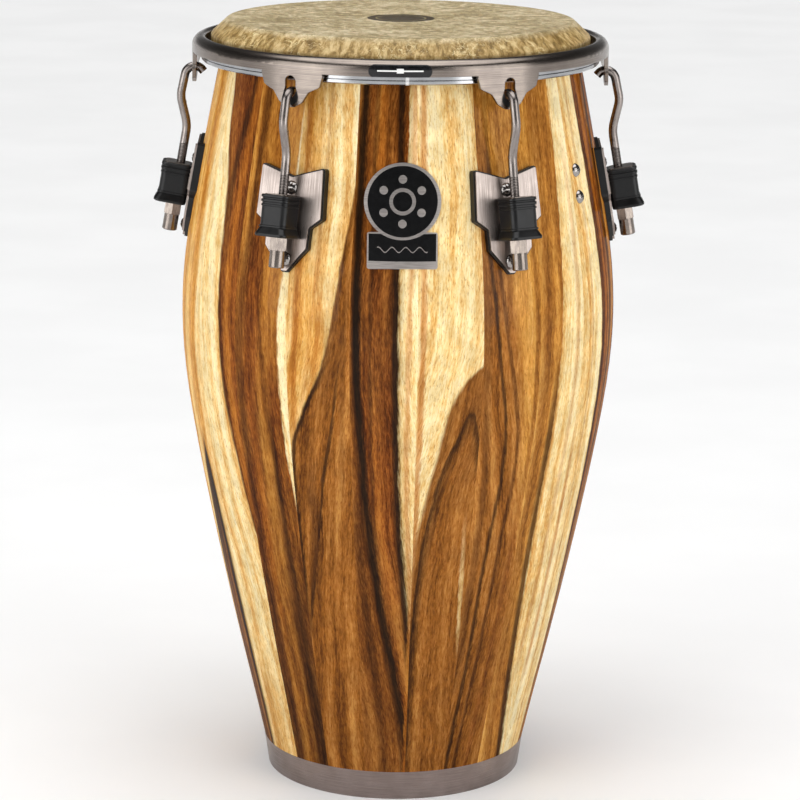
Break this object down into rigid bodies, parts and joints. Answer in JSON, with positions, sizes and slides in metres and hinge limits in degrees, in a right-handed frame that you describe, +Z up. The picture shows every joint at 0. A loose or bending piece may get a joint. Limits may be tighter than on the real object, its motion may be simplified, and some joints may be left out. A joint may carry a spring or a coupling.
{
  "type": "conga drum",
  "caption": "Tall barrel drum of glued lacquered staves with a natural skin head, held by a rolled rim and hooked tuning rods.",
  "frame": {"origin": "middle of the foot's resting face", "axes": "+Z up along the drum's axis, -Y towards the badge"},
  "size_m": [0.453, 0.404, 0.711],
  "materials": {
    "lacquered_wood": "clear gloss lacquer over two-tone hardwood staves",
    "foot_steel": "brushed",
    "rawhide": "scraped, mottled natural skin",
    "hoop_steel": "bright zinc",
    "rim_steel": "satin nickel",
    "label_film": "plain glossy label",
    "seat_plastic": "moulded black",
    "plate_steel": "fine vertical brushing",
    "black_rubber": "satin moulded",
    "saddle_metal": "satin nickel",
    "rod_steel": "satin nickel plating, dark rolled thread",
    "nut_steel": "satin nickel plating",
    "screw_steel": "bright plated",
    "zinc_steel": "zinc plated",
    "badge_metal": "brushed with black lacquer fields"
  },
  "bodies": {
    "shell": {"staves": "lacquered_wood", "foot_band": "foot_steel", "skin_head": "rawhide", "lug_screws": "screw_steel", "lug_washers": "zinc_steel", "lug_screw_nuts": "zinc_steel", "side_screws": "screw_steel", "side_washers": "zinc_steel", "side_screw_nuts": "zinc_steel", "badge": "badge_metal", "nameplate": "badge_metal", "lug_plate_1": "plate_steel", "lug_gasket_1": "black_rubber", "saddle_1": "saddle_metal", "sleeve_1": "black_rubber", "lug_plate_2": "plate_steel", "lug_gasket_2": "black_rubber", "saddle_2": "saddle_metal", "sleeve_2": "black_rubber", "lug_plate_3": "plate_steel", "lug_gasket_3": "black_rubber", "saddle_3": "saddle_metal", "sleeve_3": "black_rubber", "lug_plate_4": "plate_steel", "lug_gasket_4": "black_rubber", "saddle_4": "saddle_metal", "sleeve_4": "black_rubber", "lug_plate_5": "plate_steel", "lug_gasket_5": "black_rubber", "saddle_5": "saddle_metal", "sleeve_5": "black_rubber", "lug_plate_6": "plate_steel", "lug_gasket_6": "black_rubber", "saddle_6": "saddle_metal", "sleeve_6": "black_rubber"},
    "rim": {"rim": "rim_steel", "flesh_hoop": "hoop_steel", "rim_label": "label_film", "hook_seats": "seat_plastic"},
    "rod_1": {"tuning_rod_1": "rod_steel"},
    "rod_2": {"tuning_rod_2": "rod_steel"},
    "rod_3": {"tuning_rod_3": "rod_steel"},
    "rod_4": {"tuning_rod_4": "rod_steel"},
    "rod_5": {"tuning_rod_5": "rod_steel"},
    "rod_6": {"tuning_rod_6": "rod_steel"},
    "nut_1": {"tuning_nut_1": "nut_steel"},
    "nut_2": {"tuning_nut_2": "nut_steel"},
    "nut_3": {"tuning_nut_3": "nut_steel"},
    "nut_4": {"tuning_nut_4": "nut_steel"},
    "nut_5": {"tuning_nut_5": "nut_steel"},
    "nut_6": {"tuning_nut_6": "nut_steel"}
  },
  "joints": [
    {"name": "rim_travel", "type": "slide", "parent": "shell", "child": "rim", "axis": [0, 0, -1], "range_m": [-0.004, 0.006], "deforming": ["skin_head"]},
    {"name": "rod_travel_1", "type": "slide", "parent": "shell", "child": "rod_1", "axis": [0.0868, -0.1504, -0.9848], "range_m": [-0.0042, 0.0062]},
    {"name": "rod_travel_2", "type": "slide", "parent": "shell", "child": "rod_2", "axis": [0.1736, 0, -0.9848], "range_m": [-0.0042, 0.0062]},
    {"name": "rod_travel_3", "type": "slide", "parent": "shell", "child": "rod_3", "axis": [0.0868, 0.1504, -0.9848], "range_m": [-0.0042, 0.0062]},
    {"name": "rod_travel_4", "type": "slide", "parent": "shell", "child": "rod_4", "axis": [-0.0868, 0.1504, -0.9848], "range_m": [-0.0042, 0.0062]},
    {"name": "rod_travel_5", "type": "slide", "parent": "shell", "child": "rod_5", "axis": [-0.1736, 0, -0.9848], "range_m": [-0.0042, 0.0062]},
    {"name": "rod_travel_6", "type": "slide", "parent": "shell", "child": "rod_6", "axis": [-0.0868, -0.1504, -0.9848], "range_m": [-0.0042, 0.0062]},
    {"name": "nut_turn_1", "type": "hinge", "parent": "shell", "child": "nut_1", "pos_m": [0.10529, -0.18237, 0.52651], "axis": [0.0868, -0.1504, -0.9848], "range_deg": [-1770, 1180]},
    {"name": "nut_turn_2", "type": "hinge", "parent": "shell", "child": "nut_2", "pos_m": [0.21059, 0, 0.52651], "axis": [0.1736, 0, -0.9848], "range_deg": [-1770, 1180]},
    {"name": "nut_turn_3", "type": "hinge", "parent": "shell", "child": "nut_3", "pos_m": [0.10529, 0.18237, 0.52651], "axis": [0.0868, 0.1504, -0.9848], "range_deg": [-1770, 1180]},
    {"name": "nut_turn_4", "type": "hinge", "parent": "shell", "child": "nut_4", "pos_m": [-0.10529, 0.18237, 0.52651], "axis": [-0.0868, 0.1504, -0.9848], "range_deg": [-1770, 1180]},
    {"name": "nut_turn_5", "type": "hinge", "parent": "shell", "child": "nut_5", "pos_m": [-0.21059, 0, 0.52651], "axis": [-0.1736, 0, -0.9848], "range_deg": [-1770, 1180]},
    {"name": "nut_turn_6", "type": "hinge", "parent": "shell", "child": "nut_6", "pos_m": [-0.10529, -0.18237, 0.52651], "axis": [-0.0868, -0.1504, -0.9848], "range_deg": [-1770, 1180]}
  ],
  "couplings": [
    {"joint": "rod_travel_1", "follows": "rim_travel", "ratio": 1.0154},
    {"joint": "rod_travel_2", "follows": "rim_travel", "ratio": 1.0154},
    {"joint": "rod_travel_3", "follows": "rim_travel", "ratio": 1.0154},
    {"joint": "rod_travel_4", "follows": "rim_travel", "ratio": 1.0154},
    {"joint": "rod_travel_5", "follows": "rim_travel", "ratio": 1.0154},
    {"joint": "rod_travel_6", "follows": "rim_travel", "ratio": 1.0154},
    {"joint": "nut_turn_1", "follows": "rim_travel", "rad_per_m": -5104.1},
    {"joint": "nut_turn_2", "follows": "rim_travel", "rad_per_m": -5104.1},
    {"joint": "nut_turn_3", "follows": "rim_travel", "rad_per_m": -5104.1},
    {"joint": "nut_turn_4", "follows": "rim_travel", "rad_per_m": -5104.1},
    {"joint": "nut_turn_5", "follows": "rim_travel", "rad_per_m": -5104.1},
    {"joint": "nut_turn_6", "follows": "rim_travel", "rad_per_m": -5104.1}
  ]
}
